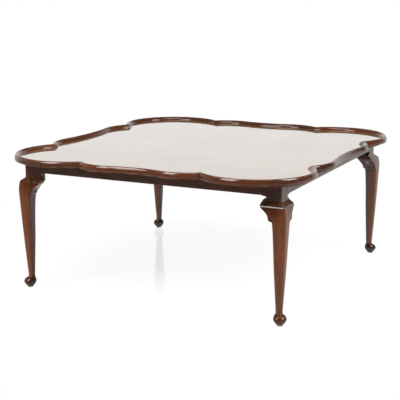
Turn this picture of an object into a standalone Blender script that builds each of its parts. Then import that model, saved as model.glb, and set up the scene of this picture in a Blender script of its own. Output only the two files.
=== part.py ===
"""Coffee table: a scalloped tray top on a slim square frame with four cabriole legs.

Metres, +Z up, front at -Y, origin on the floor under the middle of the top.
"""

import math

import bmesh
import bpy
from mathutils import Matrix, Vector

# Overall sizes
TABLE_HEIGHT = 0.432
TOP_WIDTH = 0.987  # left to right, across the corner lobes
TOP_DEPTH = 1.030  # front to back, across the corner lobes
FRAME_WIDTH = 0.860  # across the outer faces of the leg posts, the same both ways
FIT_GAP = 0.0003  # between pieces that touch

# Scalloped outline of the top, seen from above: lobes and humps that meet in cusps
LOBE_ACROSS = 0.1800  # half axes of the oval that a corner lobe follows
LOBE_ALONG = 0.1720
HUMP_RUN = 0.0855  # from a cusp to the top of the hump beside it, along the side
HUMP_RISE = 0.0292  # hump out from the cusp
DIP_FALL = 0.0137  # dip at the middle of a side behind the humps
LOBE_STEPS = 14
HUMP_STEPS = 5
DIP_STEPS = 4

# Section of the rim
RIM_WIDTH = 0.020
RIM_HEIGHT = 0.0208  # outer face, from its lower edge to the crest
DISH_DEPTH = 0.0112  # from the crest down to the field
CREST_SETBACK = 0.008  # crest behind the outermost line
BELLY_HEIGHT = 0.009  # outermost line above the lower edge
UNDERCUT = 0.005  # lower edge behind the outermost line
COVE_RUN = 0.0025  # foot of the inner face, where it eases into the field
COVE_RISE = 0.0015
BEAD_STEPS = 3

# Field panel and aprons
PANEL_THICKNESS = 0.016
APRON_HEIGHT = 0.030
APRON_THICKNESS = 0.020
TENON_LENGTH = 0.018
TENON_THICKNESS = 0.008
TENON_SHOULDER = 0.005  # apron height left above and below the tenon
TENON_SETBACK = 0.007  # tenon behind the apron's outer face

# Leg, measured outwards and inwards from the post's outer corner, and down from the apron's lower edge
POST_SIZE = 0.044
POST_ROUND = 0.0012
POST_DROP = 0.0165  # foot of the post
LEDGE_DROP = 0.0300
LEDGE_REACH = 0.0148
LEDGE_ROUND = 0.0030
KNEE_DROP = 0.0520  # fullest part of the knee
KNEE_REACH = 0.0178
KNEE_BACK = 0.0300
KNEE_ROUND = 0.0065  # front edge of the knee
SHANK_TOP_DROP = 0.0720
SHANK_TOP_REACH = 0.0180
SHANK_TOP_BACK = 0.0220
SHANK_TOP_ROUND = 0.0090
SHANK_HEIGHT = 0.1500  # half way down the shank, above the floor
SHANK_REACH = 0.0108
SHANK_BACK = 0.0180
SHANK_ROUND = 0.0110
ANKLE_HEIGHT = 0.0420
ANKLE_RADIUS = 0.0090
ANKLE_SETBACK = 0.0055  # middle of the ankle behind the post's outer corner
FOOT_HEIGHT = 0.0185  # widest part of the pad foot above the floor
FOOT_RADIUS = 0.0188
FOOT_SETBACK = 0.0010
FOOT_BASE_RADIUS = 0.0100
FOOT_TAPER = 1.5  # how long the foot stays full below its widest part
ARRIS_POINTS = 4
SHANK_STEPS = 5
FOOT_STEPS = 5

# Knee brackets, measured along the apron from the post's outer corner and down from its lower edge
EAR_REACH = 0.0625  # tip of the upper scroll
EAR_TIP_DROP = 0.0250
EAR_NECK = 0.0025  # left of the bracket beside the post, at the throat between apron and upper scroll
EAR_WAIST_DROP = 0.0070
EAR_LIP = 0.0012  # edge of the bracket under the apron
EAR_HEEL_NECK = 0.0075  # left beside the knee at the notch between the two scrolls
EAR_HEEL_DROP = 0.0490
EAR_TOE = 0.0240  # lower end of the second scroll
EAR_TOE_DROP = 0.0690
EAR_ROOT = 0.0100  # where the outline starts inside the leg, which is cut away
EAR_BACK = 0.0120  # back face behind the post's outer face
EAR_STEPS = 4

# Corner braces with their hanger bolts and nuts
BRACE_NEAR = 0.0780  # near and far corners along the apron from the post's outer corner
BRACE_FAR = 0.1040
BRACE_HEIGHT = 0.0220
BOLT_RADIUS = 0.0030
BOLT_IN_POST = 0.0240
BOLT_END = 0.0040  # thread standing out of the nut
BOLT_POINT = 0.0015
NUT_FLATS = 0.0100
NUT_SIDES = 6
NUT_THICKNESS = 0.0050
POST_CHAMFER = 0.0060  # flat on the post's inner corner, where the bolt goes in
BOLT_CLEARANCE = 0.0003

# Table buttons and their screws
BUTTON_LENGTH = 0.0380
BUTTON_WIDTH = 0.0240
BUTTON_THICKNESS = 0.0140
TONGUE_LENGTH = 0.0070
TONGUE_WIDTH = 0.0340
TONGUE_THICKNESS = 0.0060
TONGUE_CLEARANCE = 0.0003
SCREW_RADIUS = 0.0021
SCREW_POINT = 0.0030
SCREW_IN_PANEL = 0.0100
SCREW_HEAD_RADIUS = 0.0042
SCREW_HEAD_HEIGHT = 0.0026
SCREW_HEAD_BEVEL = 0.0010
SCREW_CLEARANCE = 0.0003

# Glides under the feet
GLIDE_RADIUS = 0.0090
GLIDE_HEIGHT = 0.0035
GLIDE_EDGE = 0.0010
NAIL_RADIUS = 0.0013
NAIL_LENGTH = 0.0140
NAIL_POINT = 0.0030
NAIL_CLEARANCE = 0.0003

ROUND_STEPS = 10
HOLE_STEPS = 8
CUTTER_OVERRUN = 0.002  # how far a cutter stands out of what it cuts
WELD = 1e-6
SMOOTH_ANGLE = math.radians(35)

# Places that follow from the sizes
HALF_WIDTH = TOP_WIDTH / 2
HALF_DEPTH = TOP_DEPTH / 2
HALF_FRAME = FRAME_WIDTH / 2
RIM_BOTTOM = TABLE_HEIGHT - RIM_HEIGHT
FIELD_TOP = TABLE_HEIGHT - DISH_DEPTH
PANEL_BOTTOM = FIELD_TOP - PANEL_THICKNESS
UNDER_PANEL = PANEL_BOTTOM - FIT_GAP
APRON_BOTTOM = UNDER_PANEL - APRON_HEIGHT
APRON_MIDDLE = UNDER_PANEL - APRON_HEIGHT / 2
LEDGE_HEIGHT = APRON_BOTTOM - LEDGE_DROP
EAR_WAIST = POST_SIZE + FIT_GAP + EAR_NECK
EAR_HEEL = KNEE_BACK + EAR_HEEL_NECK
FOOT_BASE = GLIDE_HEIGHT + FIT_GAP
HUMP_RADIUS = (HUMP_RUN**2 + HUMP_RISE**2) / (2 * HUMP_RISE)
CUSP_ANGLE = math.asin(HUMP_RUN / HUMP_RADIUS)  # between the side and either arc that ends in a cusp
FRONT_TURN = math.atan(math.tan(CUSP_ANGLE) * LOBE_ACROSS / LOBE_ALONG)  # how far the oval goes on to a cusp
SIDE_TURN = math.atan(math.tan(CUSP_ANGLE) * LOBE_ALONG / LOBE_ACROSS)
FRONT_CUSP = HALF_WIDTH - LOBE_ACROSS * (1 + math.sin(FRONT_TURN))  # along the front from its middle
SIDE_CUSP = HALF_DEPTH - LOBE_ALONG * (1 + math.sin(SIDE_TURN))  # along a side from its middle
FRONT_CUSP_LINE = HALF_DEPTH - LOBE_ALONG * (1 - math.cos(FRONT_TURN))  # out from the table's middle
SIDE_CUSP_LINE = HALF_WIDTH - LOBE_ACROSS * (1 - math.cos(SIDE_TURN))
BUTTON_PLACE = (FRONT_CUSP + SIDE_CUSP) / 2 - HUMP_RUN  # under the humps, from the middle of the apron
DIAGONAL = math.sqrt(2)
RIGHT_ANGLE = math.pi / 2

# Corners and sides by the quarter turns that bring the back right corner or the front there
CORNERS = ("back_right", "back_left", "front_left", "front_right")
SIDES = ("front", "right", "back", "left")
ACROSS_DIAGONAL = Matrix(((0, 1, 0, 0), (1, 0, 0, 0), (0, 0, 1, 0), (0, 0, 0, 1)))


def collection(name):
    """The collection of this name, made when it is first asked for."""
    made = bpy.data.collections.get(name)
    if made is None:
        made = bpy.data.collections.new(name)
        bpy.context.scene.collection.children.link(made)
    return made


def material(name, colour, roughness, metallic=0.0):
    made = bpy.data.materials.new(name)
    made.use_nodes = True
    shader = made.node_tree.nodes["Principled BSDF"]
    shader.inputs["Base Color"].default_value = (*colour, 1.0)
    shader.inputs["Roughness"].default_value = roughness
    shader.inputs["Metallic"].default_value = metallic
    return made


def part(name, mesh, finish, matrix=None):
    """A named piece of the table, under the table's empty."""
    mesh.materials.clear()
    mesh.materials.append(finish)
    made = bpy.data.objects.new(name, mesh)
    made.parent = bpy.data.objects["table_origin"]
    made.matrix_basis = matrix or Matrix.Identity(4)
    collection("coffee_table").objects.link(made)


def helper(data):
    """A guide or cutter, which is no piece of the table."""
    made = bpy.data.objects.new("helper", data)
    made.hide_render = True
    made.display_type = "WIRE"
    collection("cutters").objects.link(made)
    return made


def drop_helpers():
    for made in list(collection("cutters").objects):
        bpy.data.objects.remove(made, do_unlink=True)


def mesh_of(thing):
    """The mesh that a helper's curve or modifiers make, with loose caps welded on."""
    bpy.context.view_layer.update()
    graph = bpy.context.evaluated_depsgraph_get()
    mesh = bpy.data.meshes.new_from_object(thing.evaluated_get(graph))
    shape = bmesh.new()
    shape.from_mesh(mesh)
    bmesh.ops.remove_doubles(shape, verts=shape.verts, dist=WELD)
    bmesh.ops.recalc_face_normals(shape, faces=shape.faces)
    shape.to_mesh(mesh)
    shape.free()
    drop_helpers()
    return mesh


def finished(shape):
    mesh = bpy.data.meshes.new("shape")
    shape.to_mesh(mesh)
    shape.free()
    return mesh


def smooth(mesh):
    mesh.shade_smooth()
    mesh.set_sharp_from_angle(angle=SMOOTH_ANGLE)
    return mesh


def moved(mesh, matrix):
    made = mesh.copy()
    made.transform(matrix)
    if matrix.determinant() < 0:
        made.flip_normals()
    return made


def quarter_turn(count):
    return Matrix.Rotation(count * RIGHT_ANGLE, 4, "Z")


def combine(operation, mesh, others):
    """The mesh after a Boolean with each of the others."""
    base = helper(mesh)
    for other in others:
        modifier = base.modifiers.new("Boolean", "BOOLEAN")
        modifier.operation = operation
        modifier.object = helper(other)
    return mesh_of(base)


def box(low, high):
    """A box between two opposite corners."""
    low = Vector(low)
    high = Vector(high)
    shape = bmesh.new()
    bmesh.ops.create_cube(shape, size=1.0)
    bmesh.ops.scale(shape, vec=high - low, verts=shape.verts)
    bmesh.ops.translate(shape, vec=(high + low) / 2, verts=shape.verts)
    return finished(shape)


def prism(radius, low, high, steps):
    """An upright prism on the Z axis between two heights, its corners at this radius."""
    shape = bmesh.new()
    bmesh.ops.create_cone(
        shape, cap_ends=True, segments=steps, radius1=radius, radius2=radius, depth=high - low
    )
    bmesh.ops.translate(shape, vec=(0, 0, (high + low) / 2), verts=shape.verts)
    return finished(shape)


def bore(radius, clearance, low, high):
    """A cutter on the Z axis that clears a round piece of this radius all round."""
    return prism((radius + clearance) / math.cos(math.pi / HOLE_STEPS), low, high, HOLE_STEPS)


def poly_curve(points, closed):
    """A flat curve through these points."""
    curve = bpy.data.curves.new("outline", "CURVE")
    curve.dimensions = "2D"
    spline = curve.splines.new("POLY")
    spline.points.add(len(points) - 1)
    for spot, (x, y) in zip(spline.points, points):
        spot.co = (x, y, 0, 1)
    spline.use_cyclic_u = closed
    return curve


def plate(outline, low, high):
    """A flat outline in XY made solid between two heights."""
    curve = poly_curve(outline, closed=True)
    curve.fill_mode = "BOTH"
    curve.extrude = (high - low) / 2
    return moved(mesh_of(helper(curve)), Matrix.Translation((0, 0, (high + low) / 2)))


def turned(profile):
    """A profile of (radius, height), given down its outer side, turned about Z."""
    shape = bmesh.new()
    spots = [shape.verts.new((radius, 0, height)) for radius, height in profile]
    for first, second in zip(spots, spots[1:]):
        shape.edges.new((first, second))
    thing = helper(finished(shape))
    screw = thing.modifiers.new("Screw", "SCREW")
    screw.steps = ROUND_STEPS
    screw.render_steps = ROUND_STEPS
    screw.use_merge_vertices = True
    screw.merge_threshold = WELD
    return smooth(mesh_of(thing))


def loft(rings):
    """A closed solid through rings that all have as many points."""
    shape = bmesh.new()
    rows = [[shape.verts.new(spot) for spot in ring] for ring in rings]
    for low, high in zip(rows, rows[1:]):
        for here in range(len(low)):
            shape.faces.new((low[here - 1], low[here], high[here], high[here - 1]))
    shape.faces.new(rows[0])
    shape.faces.new(rows[-1])
    bmesh.ops.recalc_face_normals(shape, faces=shape.faces)
    return finished(shape)


def arc(middle, across, along, start, end, steps):
    """Points of an ellipse's arc between two angles, each with its outward direction."""
    spots = []
    for step in range(steps + 1):
        angle = start + (end - start) * step / steps
        x = math.cos(angle)
        y = math.sin(angle)
        point = Vector((middle[0] + across * x, middle[1] + along * y))
        spots.append((point, Vector((along * x, across * y)).normalized()))
    return spots


def bend(middle, across, along, start, end, steps):
    """The points of such an arc alone."""
    return [tuple(point) for point, _ in arc(middle, across, along, start, end, steps)]


def mirror_run(run):
    """The same run on the other side of the Y axis, still counter-clockwise."""
    return [
        (Vector((-point.x, point.y)), Vector((-outward.x, outward.y)))
        for point, outward in reversed(run)
    ]


def turn_run(run, quarters):
    turn = quarter_turn(quarters).to_2x2()
    return [(turn @ point, turn @ outward) for point, outward in run]


def side_run(cusp, line):
    """The back's outline between its cusps, counter-clockwise: hump, dip and hump."""
    hump = cusp - HUMP_RUN
    top = line + HUMP_RISE
    both_radii = (hump**2 + DIP_FALL**2) / (2 * DIP_FALL)
    dip_radius = both_radii - HUMP_RADIUS
    lean = math.asin(hump / both_radii)
    right = arc(
        (hump, top - HUMP_RADIUS),
        HUMP_RADIUS,
        HUMP_RADIUS,
        RIGHT_ANGLE - CUSP_ANGLE,
        RIGHT_ANGLE + lean,
        HUMP_STEPS,
    )
    dip = arc(
        (0, top - DIP_FALL + dip_radius),
        dip_radius,
        dip_radius,
        lean - RIGHT_ANGLE,
        -lean - RIGHT_ANGLE,
        DIP_STEPS,
    )
    hollow = [(point, -outward) for point, outward in dip]
    return right + hollow[1:-1] + mirror_run(right)


def corner_run():
    """The outline of the back right lobe, counter-clockwise from the right side's cusp."""
    middle = (HALF_WIDTH - LOBE_ACROSS, HALF_DEPTH - LOBE_ALONG)
    return arc(middle, LOBE_ACROSS, LOBE_ALONG, -SIDE_TURN, RIGHT_ANGLE + FRONT_TURN, LOBE_STEPS)


def top_runs():
    """The eight stretches of the outline between cusps, by name, counter-clockwise."""
    right = turn_run(side_run(SIDE_CUSP, SIDE_CUSP_LINE), -1)
    back = side_run(FRONT_CUSP, FRONT_CUSP_LINE)
    back_right = corner_run()
    half = [right, back_right, back, mirror_run(back_right)]
    whole = half + [turn_run(run, 2) for run in half]
    names = ("right", "back_right", "back", "back_left", "left", "front_left", "front", "front_right")
    return dict(zip(names, whole))


def rim_section():
    """The rim's section as (distance out from the outermost line, height over its lower edge)."""
    foot = RIM_WIDTH - COVE_RUN
    crest = (CREST_SETBACK, BELLY_HEIGHT)
    inner_rise = DISH_DEPTH - COVE_RISE
    lower = bend((UNDERCUT, BELLY_HEIGHT), UNDERCUT, BELLY_HEIGHT, -RIGHT_ANGLE, -math.pi, BEAD_STEPS)
    upper = bend(crest, CREST_SETBACK, RIM_HEIGHT - BELLY_HEIGHT, math.pi, RIGHT_ANGLE, BEAD_STEPS)
    inner_middle = (CREST_SETBACK, RIM_HEIGHT - inner_rise)
    inner = bend(inner_middle, foot - CREST_SETBACK, inner_rise, RIGHT_ANGLE, 0, BEAD_STEPS)
    edge = [(RIM_WIDTH, RIM_HEIGHT - DISH_DEPTH), (RIM_WIDTH, PANEL_BOTTOM - RIM_BOTTOM)]
    return [(-inset, height) for inset, height in lower + upper[1:] + inner[1:] + edge]


def carried_on(run, reach):
    """The run's points, with a straight stretch added at both ends."""
    spots = [point for point, _ in run]
    first = run[0][1].orthogonal()
    last = run[-1][1].orthogonal()
    return [spots[0] - first * reach, *spots, spots[-1] + last * reach]


def set_in(points, inset):
    """A counter-clockwise path moved in, each stretch parallel to itself."""
    inward = [(after - before).normalized().orthogonal() for before, after in zip(points, points[1:])]
    made = []
    for point, first, second in zip(points, inward[:1] + inward, inward + inward[-1:]):
        made.append(point + (first + second) * inset / (1 + first.dot(second)))
    return made


def rim_segment(name, run):
    """The rim's section carried along one run and cut square to the side at both cusps."""
    curve = poly_curve(carried_on(run, RIM_WIDTH), closed=False)
    curve.bevel_mode = "OBJECT"
    curve.bevel_object = helper(poly_curve(rim_section(), closed=True))
    curve.use_fill_caps = True
    rail = moved(mesh_of(helper(curve)), Matrix.Translation((0, 0, RIM_BOTTOM)))
    return smooth(combine("INTERSECT", rail, [rim_stretch(name)]))


def rim_stretch(name):
    """The box round the whole of one rim segment, from cusp to cusp."""
    half_gap = FIT_GAP / 2
    top = TABLE_HEIGHT + CUTTER_OVERRUN
    low = PANEL_BOTTOM - CUTTER_OVERRUN
    if name in CORNERS:
        ways = {"right": 1, "back": 1, "left": -1, "front": -1}
        back_or_front, side = name.split("_")
        near = (FRONT_CUSP + half_gap, SIDE_CUSP + half_gap, low)
        far = (HALF_WIDTH + CUTTER_OVERRUN, HALF_DEPTH + CUTTER_OVERRUN, top)
        return moved(box(near, far), Matrix.Diagonal((ways[side], ways[back_or_front], 1, 1)))
    along_front = name in ("front", "back")
    end = (FRONT_CUSP if along_front else SIDE_CUSP) - half_gap
    line = FRONT_CUSP_LINE if along_front else SIDE_CUSP_LINE
    near = line + HUMP_RISE + CUTTER_OVERRUN
    far = line - RIM_WIDTH / math.cos(CUSP_ANGLE) - CUTTER_OVERRUN
    front = box((-end, -near, low), (end, -far, top))
    return moved(front, quarter_turn(SIDES.index(name)))


def field_panel():
    """The panel inside the rim, with a blind hole under it for each button's screw."""
    inset = RIM_WIDTH + FIT_GAP
    outline = []
    for run in top_runs().values():
        outline += set_in(carried_on(run, inset * math.tan(CUSP_ANGLE)), inset)[:-1]
    slab = plate(outline, PANEL_BOTTOM, FIELD_TOP)
    hole = bore(
        SCREW_RADIUS,
        SCREW_CLEARANCE,
        PANEL_BOTTOM - CUTTER_OVERRUN,
        PANEL_BOTTOM + SCREW_IN_PANEL + SCREW_CLEARANCE,
    )
    return combine("DIFFERENCE", slab, [moved(hole, matrix) for matrix in button_places().values()])


def tenon_box(grow):
    """The tenon at the right end of the front apron, or with grow the mortise for it."""
    shoulder = HALF_FRAME - POST_SIZE - CUTTER_OVERRUN
    tip = HALF_FRAME - POST_SIZE + TENON_LENGTH + grow
    front = TENON_SETBACK - HALF_FRAME - grow
    back = TENON_SETBACK - HALF_FRAME + TENON_THICKNESS + grow
    low = APRON_BOTTOM + TENON_SHOULDER - grow
    high = UNDER_PANEL - TENON_SHOULDER + grow
    return box((shoulder, front, low), (tip, back, high))


def tongue_box(back, length, grow):
    """A button's tongue behind the front apron, or with grow the slot for it."""
    middle = UNDER_PANEL - BUTTON_THICKNESS / 2
    half_height = TONGUE_THICKNESS / 2 + grow
    half_width = TONGUE_WIDTH / 2 + grow
    near = (-half_width, back - length - grow, middle - half_height)
    return box(near, (half_width, back + CUTTER_OVERRUN, middle + half_height))


def apron():
    """The front apron, with a tenon at each end and two slots for the buttons' tongues."""
    end = HALF_FRAME - POST_SIZE - FIT_GAP
    back = APRON_THICKNESS - HALF_FRAME
    rail = box((-end, -HALF_FRAME, APRON_BOTTOM), (end, back, UNDER_PANEL))
    tenon = tenon_box(0)
    rail = combine("UNION", rail, [moved(tenon, Matrix.Scale(-1, 4, (1, 0, 0))), tenon])
    slot = tongue_box(back, TONGUE_LENGTH, TONGUE_CLEARANCE)
    slots = [moved(slot, Matrix.Translation((along, 0, 0))) for along in (-BUTTON_PLACE, BUTTON_PLACE)]
    return combine("DIFFERENCE", rail, slots)


def button_places():
    """Where each button's hole lies, by the side and end it holds."""
    inward = HALF_FRAME - APRON_THICKNESS - FIT_GAP - BUTTON_WIDTH / 2
    places = {}
    for turns, side in enumerate(SIDES):
        for end, along in (("1", -BUTTON_PLACE), ("2", BUTTON_PLACE)):
            place = quarter_turn(turns) @ Matrix.Translation((along, -inward, 0))
            places[f"{side}_{end}"] = place
    return places


def button():
    """A wooden button behind the front apron, its hole on Z and its tongue in the apron's slot."""
    low = UNDER_PANEL - BUTTON_THICKNESS
    half = BUTTON_WIDTH / 2
    block = box((-BUTTON_LENGTH / 2, -half, low), (BUTTON_LENGTH / 2, half, UNDER_PANEL))
    tongue = tongue_box(-half, FIT_GAP + TONGUE_LENGTH, 0)
    hole = bore(SCREW_RADIUS, SCREW_CLEARANCE, low - CUTTER_OVERRUN, UNDER_PANEL + CUTTER_OVERRUN)
    return combine("DIFFERENCE", combine("UNION", block, [tongue]), [hole])


def button_screw():
    """A round-headed screw up through a button into the panel."""
    tip = PANEL_BOTTOM + SCREW_IN_PANEL
    seat = UNDER_PANEL - BUTTON_THICKNESS - FIT_GAP
    profile = [
        (0, tip),
        (SCREW_RADIUS, tip - SCREW_POINT),
        (SCREW_RADIUS, seat),
        (SCREW_HEAD_RADIUS, seat),
        (SCREW_HEAD_RADIUS, seat - SCREW_HEAD_HEIGHT + SCREW_HEAD_BEVEL),
        (SCREW_HEAD_RADIUS - SCREW_HEAD_BEVEL, seat - SCREW_HEAD_HEIGHT),
        (0, seat - SCREW_HEAD_HEIGHT),
    ]
    return turned(profile)


def knee_stations():
    """Leg sections from the post's top to the ledge and on to the ankle.

    Each is a height, the reach outwards, the reach inwards, the radius of the front edge and of the others.
    """
    post_foot = APRON_BOTTOM - POST_DROP
    ledge_top = LEDGE_HEIGHT + LEDGE_ROUND / 2
    ledge_low = LEDGE_HEIGHT - LEDGE_ROUND / 2
    drawn_in = LEDGE_REACH - LEDGE_ROUND / 2
    above = [
        (UNDER_PANEL, 0, POST_SIZE, POST_ROUND, POST_ROUND),
        (post_foot, 0, POST_SIZE, POST_ROUND, POST_ROUND),
        (ledge_top, drawn_in, POST_SIZE, LEDGE_ROUND, POST_ROUND),
    ]
    below = [
        (ledge_low, LEDGE_REACH, POST_SIZE, LEDGE_ROUND, POST_ROUND),
        (APRON_BOTTOM - KNEE_DROP, KNEE_REACH, KNEE_BACK, KNEE_ROUND, LEDGE_ROUND),
        (APRON_BOTTOM - SHANK_TOP_DROP, SHANK_TOP_REACH, SHANK_TOP_BACK, SHANK_TOP_ROUND, SHANK_TOP_ROUND),
        (SHANK_HEIGHT, SHANK_REACH, SHANK_BACK, SHANK_ROUND, SHANK_ROUND),
        ankle_section(ANKLE_HEIGHT, ANKLE_RADIUS, ANKLE_SETBACK),
    ]
    return above + eased_through(below, (2, 2, SHANK_STEPS, SHANK_STEPS))


def ankle_section(height, radius, setback):
    """A round section, its middle behind the post's outer corner."""
    return (height, radius - setback, radius + setback, radius, radius)


def eased_through(stations, steps):
    """Sections on a smooth curve through the given ones, with so many steps in each interval."""
    made = [stations[0]]
    last = len(stations) - 1
    for index, count in enumerate(steps):
        near = [stations[max(index - 1, 0)], stations[index], stations[index + 1]]
        near.append(stations[min(index + 2, last)])
        for step in range(1, count + 1):
            made.append(tuple(eased(near, column, step / count) for column in range(len(near[0]))))
    return made


def eased(near, column, share):
    """One value between the two middle stations of four, on a cubic with its neighbours' slopes."""
    heights = [station[0] for station in near]
    values = [station[column] for station in near]
    span = heights[2] - heights[1]
    start = (values[2] - values[0]) / (heights[2] - heights[0]) * span
    end = (values[3] - values[1]) / (heights[3] - heights[1]) * span
    square = share**2
    cube = share**3
    if column == 0:
        return heights[1] + span * share
    rise = 3 * square - 2 * cube
    lead = (cube - 2 * square + share) * start + (cube - square) * end
    return values[1] + (values[2] - values[1]) * rise + lead


def foot_stations():
    """The turned pad foot: it swells below the ankle, then tapers to the base."""
    made = []
    for step in range(1, FOOT_STEPS + 1):
        share = step / FOOT_STEPS
        spread = (3 - 2 * share) * share**2
        radius = ANKLE_RADIUS + (FOOT_RADIUS - ANKLE_RADIUS) * spread
        setback = ANKLE_SETBACK + (FOOT_SETBACK - ANKLE_SETBACK) * spread
        made.append(ankle_section(ANKLE_HEIGHT + (FOOT_HEIGHT - ANKLE_HEIGHT) * share, radius, setback))
    for step in range(1, FOOT_STEPS + 1):
        share = step / FOOT_STEPS
        radius = FOOT_RADIUS + (FOOT_BASE_RADIUS - FOOT_RADIUS) * share**FOOT_TAPER
        height = FOOT_HEIGHT + (FOOT_BASE - FOOT_HEIGHT) * share
        made.append(ankle_section(height, radius, FOOT_SETBACK))
    return made


def leg_ring(station, grow):
    """One leg section: a square with rounded edges, the front edge on its own radius."""
    height, reach, back, front_round, other_round = station
    half = (reach + back) / 2 + grow
    middle = (reach - back) / 2
    ring = []
    for quarter, (x, y) in enumerate(((1, 1), (-1, 1), (-1, -1), (1, -1))):
        radius = front_round if quarter == 0 else other_round
        for step in range(ARRIS_POINTS):
            angle = (quarter + (step + 0.5) / ARRIS_POINTS) * RIGHT_ANGLE
            across = x * (half - radius) + radius * math.cos(angle)
            along = y * (half - radius) + radius * math.sin(angle)
            ring.append((middle + across, middle + along, height))
    return ring


def leg_solid(grow=0.0):
    """The back right leg with its post's outer corner on the Z axis, before any joint is cut."""
    return loft([leg_ring(station, grow) for station in knee_stations() + foot_stations()])


def along_diagonal():
    """Matrix that lays what stands on Z along the way from the post's outer corner to the table's middle."""
    tilt = Matrix.Rotation(RIGHT_ANGLE, 4, "Y")
    turn = Matrix.Rotation(math.radians(225), 4, "Z")
    return Matrix.Translation((0, 0, APRON_MIDDLE)) @ turn @ tilt


def post_flat():
    """Distance along that way to the flat on the post's inner corner."""
    return POST_SIZE * DIAGONAL - POST_CHAMFER


def brace_faces():
    """Distances along that way to the brace's two faces."""
    inner_face = APRON_THICKNESS + FIT_GAP
    return (BRACE_NEAR + inner_face) / DIAGONAL, (BRACE_FAR + inner_face) / DIAGONAL


def leg():
    """The leg with two mortises, the bolt's flat and hole, and the glide's nail hole."""
    corner = Matrix.Translation((-HALF_FRAME, -HALF_FRAME, 0))
    mortise = moved(tenon_box(FIT_GAP), corner @ Matrix.Scale(-1, 4, (0, 1, 0)))
    lay = along_diagonal()
    far = POST_SIZE * 2
    flat = moved(box((-POST_SIZE, -POST_SIZE, post_flat()), (POST_SIZE, POST_SIZE, far)), lay)
    bolt_hole = bore(
        BOLT_RADIUS, BOLT_CLEARANCE, post_flat() - BOLT_IN_POST - BOLT_CLEARANCE, far
    )
    nail_hole = bore(
        NAIL_RADIUS,
        NAIL_CLEARANCE,
        FOOT_BASE - CUTTER_OVERRUN,
        GLIDE_HEIGHT + NAIL_LENGTH + NAIL_CLEARANCE,
    )
    cuts = [
        mortise,
        moved(mortise, ACROSS_DIAGONAL),
        flat,
        moved(bolt_hole, lay),
        moved(nail_hole, Matrix.Translation((-FOOT_SETBACK, -FOOT_SETBACK, 0))),
    ]
    return smooth(combine("DIFFERENCE", leg_solid(), cuts))


def bracket_outline():
    """The bracket's face as (distance from the post's outer corner, height): throat and two scrolls."""
    top = APRON_BOTTOM - FIT_GAP
    waist = APRON_BOTTOM - EAR_WAIST_DROP
    tip = APRON_BOTTOM - EAR_TIP_DROP
    heel = APRON_BOTTOM - EAR_HEEL_DROP
    toe = APRON_BOTTOM - EAR_TOE_DROP
    reach = EAR_REACH - EAR_WAIST
    throat = bend(
        (EAR_REACH, waist), reach, top - EAR_LIP - waist, RIGHT_ANGLE, math.pi, EAR_STEPS
    )
    upper = bend((EAR_WAIST, tip), reach, waist - tip, RIGHT_ANGLE, 0, EAR_STEPS)
    under = bend((EAR_HEEL, tip), EAR_REACH - EAR_HEEL, tip - heel, 0, -RIGHT_ANGLE, EAR_STEPS)
    lower = bend((EAR_TOE, heel), EAR_HEEL - EAR_TOE, heel - toe, 0, -RIGHT_ANGLE, EAR_STEPS)
    start = [(EAR_ROOT, toe), (EAR_ROOT, top), (EAR_REACH, top)]
    return start + throat + upper[1:] + under[1:] + lower[1:]


def bracket_section():
    """The bracket's end as (distance out from the post's face, height), just behind the leg's own front."""
    top = APRON_BOTTOM
    low = APRON_BOTTOM - EAR_TOE_DROP - CUTTER_OVERRUN
    front = [(reach - FIT_GAP, height) for height, reach, *_ in knee_stations() if low < height < top]
    toe_reach = front[-1][0]
    return [(-EAR_BACK, low), (-EAR_BACK, top), (-FIT_GAP, top), *front, (toe_reach, low)]


def knee_bracket(across):
    """A bracket beside the back right leg, under the back apron or, across the diagonal, the right one."""
    stand = Matrix.Rotation(RIGHT_ANGLE, 4, "X")
    depth = KNEE_REACH + CUTTER_OVERRUN
    face = plate([(-along, height) for along, height in bracket_outline()], -depth, EAR_BACK)
    end = plate(bracket_section(), -EAR_REACH - CUTTER_OVERRUN, 0)
    end = moved(end, Matrix.Rotation(RIGHT_ANGLE, 4, "Z") @ stand)
    block = combine("INTERSECT", moved(face, stand), [end])
    bracket = combine("DIFFERENCE", block, [leg_solid(FIT_GAP)])
    return moved(bracket, ACROSS_DIAGONAL) if across else bracket


def corner_brace():
    """The block between the aprons behind the back right post, with the bolt's hole."""
    inner_face = APRON_THICKNESS + FIT_GAP
    outline = [
        (-BRACE_NEAR, -inner_face),
        (-BRACE_FAR, -inner_face),
        (-inner_face, -BRACE_FAR),
        (-inner_face, -BRACE_NEAR),
    ]
    block = plate(outline, APRON_MIDDLE - BRACE_HEIGHT / 2, APRON_MIDDLE + BRACE_HEIGHT / 2)
    near, far = brace_faces()
    hole = bore(BOLT_RADIUS, BOLT_CLEARANCE, near - CUTTER_OVERRUN, far + CUTTER_OVERRUN)
    return combine("DIFFERENCE", block, [moved(hole, along_diagonal())])


def hanger_bolt():
    """The bolt from inside the post, through the brace and the nut."""
    start = post_flat() - BOLT_IN_POST
    end = brace_faces()[1] + FIT_GAP + NUT_THICKNESS + BOLT_END
    profile = [
        (0, end),
        (BOLT_RADIUS - BOLT_POINT / 2, end),
        (BOLT_RADIUS, end - BOLT_POINT),
        (BOLT_RADIUS, start + BOLT_POINT),
        (BOLT_RADIUS - BOLT_POINT / 2, start),
        (0, start),
    ]
    return moved(turned(profile), along_diagonal())


def bolt_nut():
    """The hexagonal nut on the brace's inner face."""
    start = brace_faces()[1] + FIT_GAP
    end = start + NUT_THICKNESS
    body = prism(NUT_FLATS / math.sqrt(3), start, end, NUT_SIDES)
    hole = bore(BOLT_RADIUS, BOLT_CLEARANCE, start - CUTTER_OVERRUN, end + CUTTER_OVERRUN)
    return moved(combine("DIFFERENCE", body, [hole]), along_diagonal())


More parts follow.
